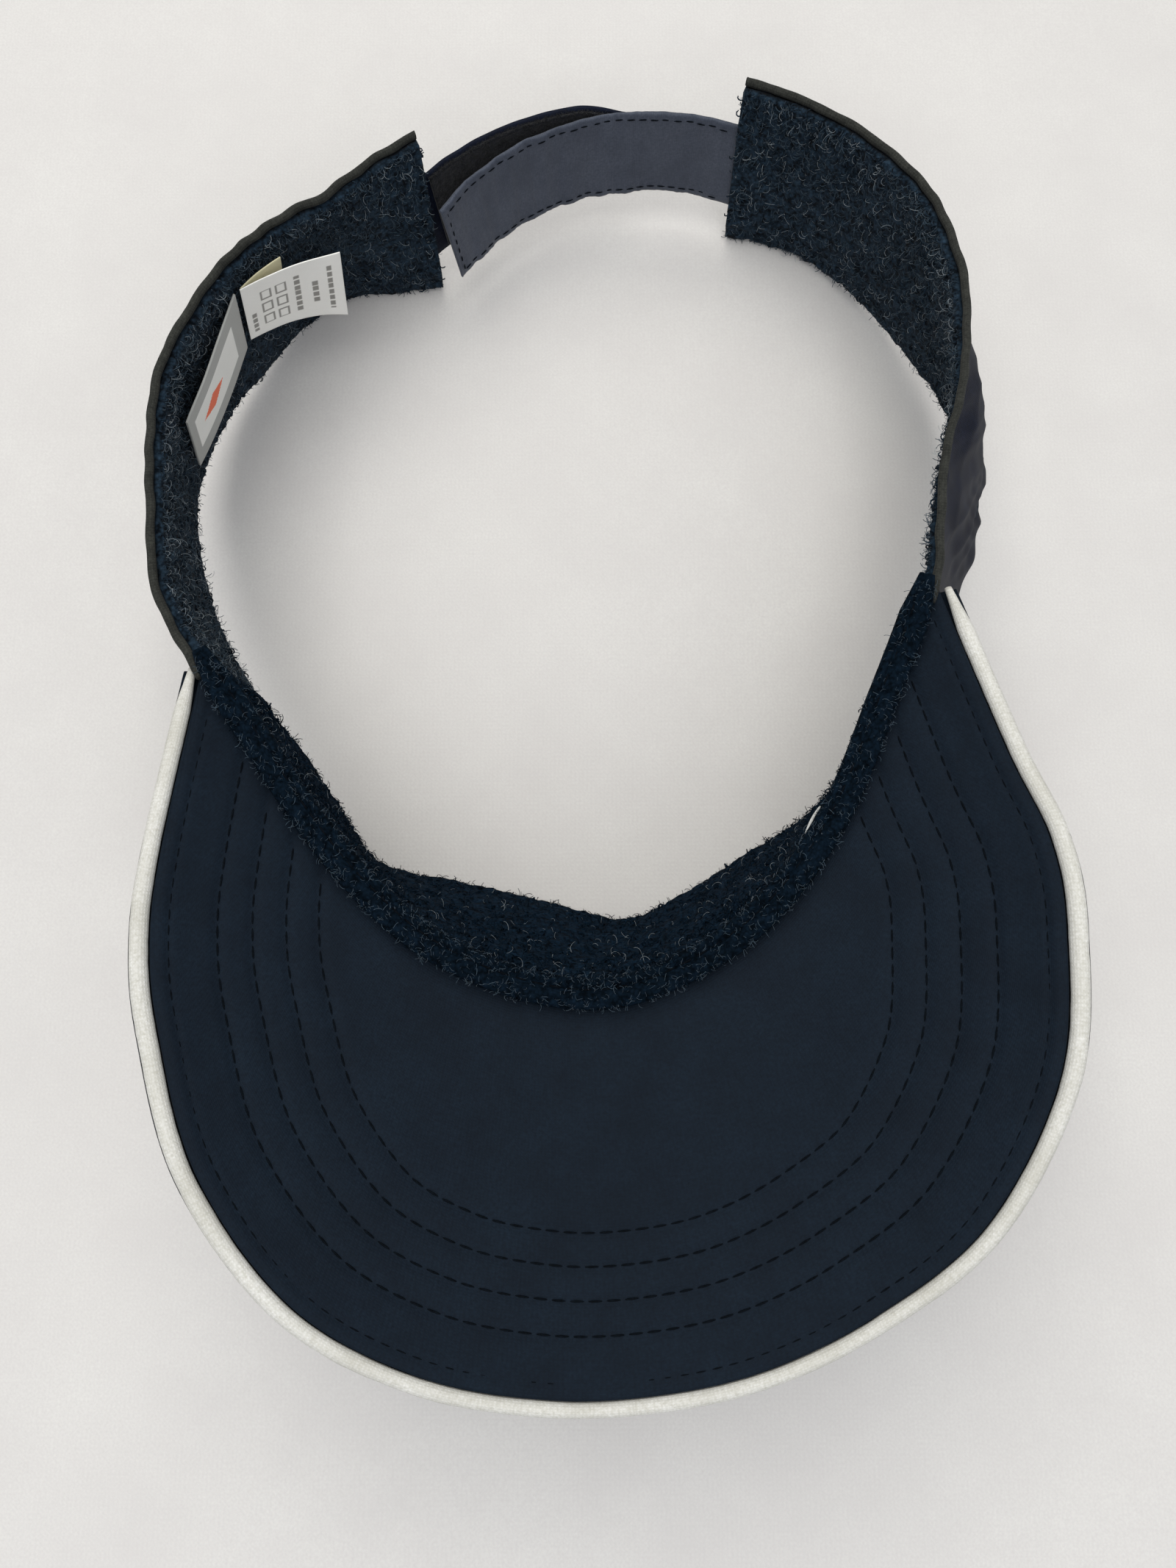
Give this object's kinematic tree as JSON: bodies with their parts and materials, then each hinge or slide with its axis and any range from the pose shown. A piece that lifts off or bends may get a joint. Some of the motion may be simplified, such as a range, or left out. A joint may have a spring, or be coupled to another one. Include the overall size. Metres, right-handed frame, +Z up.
{
  "type": "sun visor",
  "caption": "Sports sun visor lying upside down: curved piped brim, terry-lined headband open at the crown and a hook-and-loop closure.",
  "frame": {"origin": "centre of the head opening, on the surface that the crown edge lies on", "axes": "+X across the head as it lies, +Y from the brim to the closure at the back, +Z up, from the crown edge towards the brim seam"},
  "size_m": [0.1721, 0.2581, 0.0676],
  "materials": {
    "brim_plastic": "matt",
    "brim_cloth": "plain woven, matt",
    "piping_tape": "soft bead covered with knit tape",
    "thread": "twisted thread",
    "shell_cloth": "light nylon, slight sheen",
    "buckram": "stiff open mesh",
    "terry": "brushed loop terry",
    "strap_cloth": "smooth nylon",
    "loop_pile": "loop pile",
    "hook_plastic": "moulded hooks",
    "label_satin": "satin ribbon",
    "label_weave": "jacquard weave"
  },
  "bodies": {
    "visor": {"brim_board": "brim_plastic", "brim_under_cover": "brim_cloth", "brim_top_cover": "brim_cloth", "brim_piping": "piping_tape", "brim_stitch_rows": "thread", "brim_edge_stitching": "thread", "front_shell": "shell_cloth", "front_stiffener": "buckram", "front_sweatband": "terry", "sweatband_welt": "terry", "welt_stitching": "thread", "left_side_shell": "shell_cloth", "left_side_terry": "terry", "left_side_binding": "shell_cloth", "right_side_shell": "shell_cloth", "right_side_terry": "terry", "right_side_binding": "shell_cloth", "label_stitching": "thread"},
    "left_end": {"left_end_shell": "shell_cloth", "left_end_terry": "terry", "left_end_binding": "shell_cloth", "loop_strap": "strap_cloth", "loop_tape": "loop_pile", "left_strap_tacks": "thread"},
    "right_end": {"right_end_shell": "shell_cloth", "right_end_terry": "terry", "right_end_binding": "shell_cloth", "hook_strap_root": "strap_cloth", "right_strap_tacks": "thread"},
    "hook_flap": {"hook_strap": "strap_cloth", "hook_tape": "hook_plastic", "hook_strap_stitching": "thread"},
    "care_flap": {"care_label": "label_satin", "care_label_back": "label_satin"},
    "woven_flap": {"woven_label": "label_weave"}
  },
  "joints": [
    {"name": "left_end_swing", "type": "hinge", "parent": "visor", "child": "left_end", "pos_m": [-0.0775, 0.04856, 0.02], "axis": [0, 0, 1], "range_deg": [0, 13]},
    {"name": "right_end_swing", "type": "hinge", "parent": "visor", "child": "right_end", "pos_m": [0.0805, 0.04856, 0.02], "axis": [0, 0, 1], "range_deg": [-16.2, 0]},
    {"name": "hook_strap_peel", "type": "hinge", "parent": "right_end", "child": "hook_flap", "pos_m": [0.03329, 0.09224, 0.02], "axis": [0.0565, 0.1578, 0.9859], "range_deg": [0, 75]},
    {"name": "care_label_lift", "type": "hinge", "parent": "visor", "child": "care_flap", "pos_m": [-0.0705, 0.0451, 0.0252], "axis": [0.1623, -0.0681, 0.9844], "range_deg": [-75, 0]},
    {"name": "woven_label_lift", "type": "hinge", "parent": "visor", "child": "woven_flap", "pos_m": [-0.0705, 0.0451, 0.0252], "axis": [0.1623, -0.0681, 0.9844], "range_deg": [0, 40]}
  ],
  "couplings": [
    {"joint": "right_end_swing", "follows": "left_end_swing", "ratio": -1.241}
  ]
}
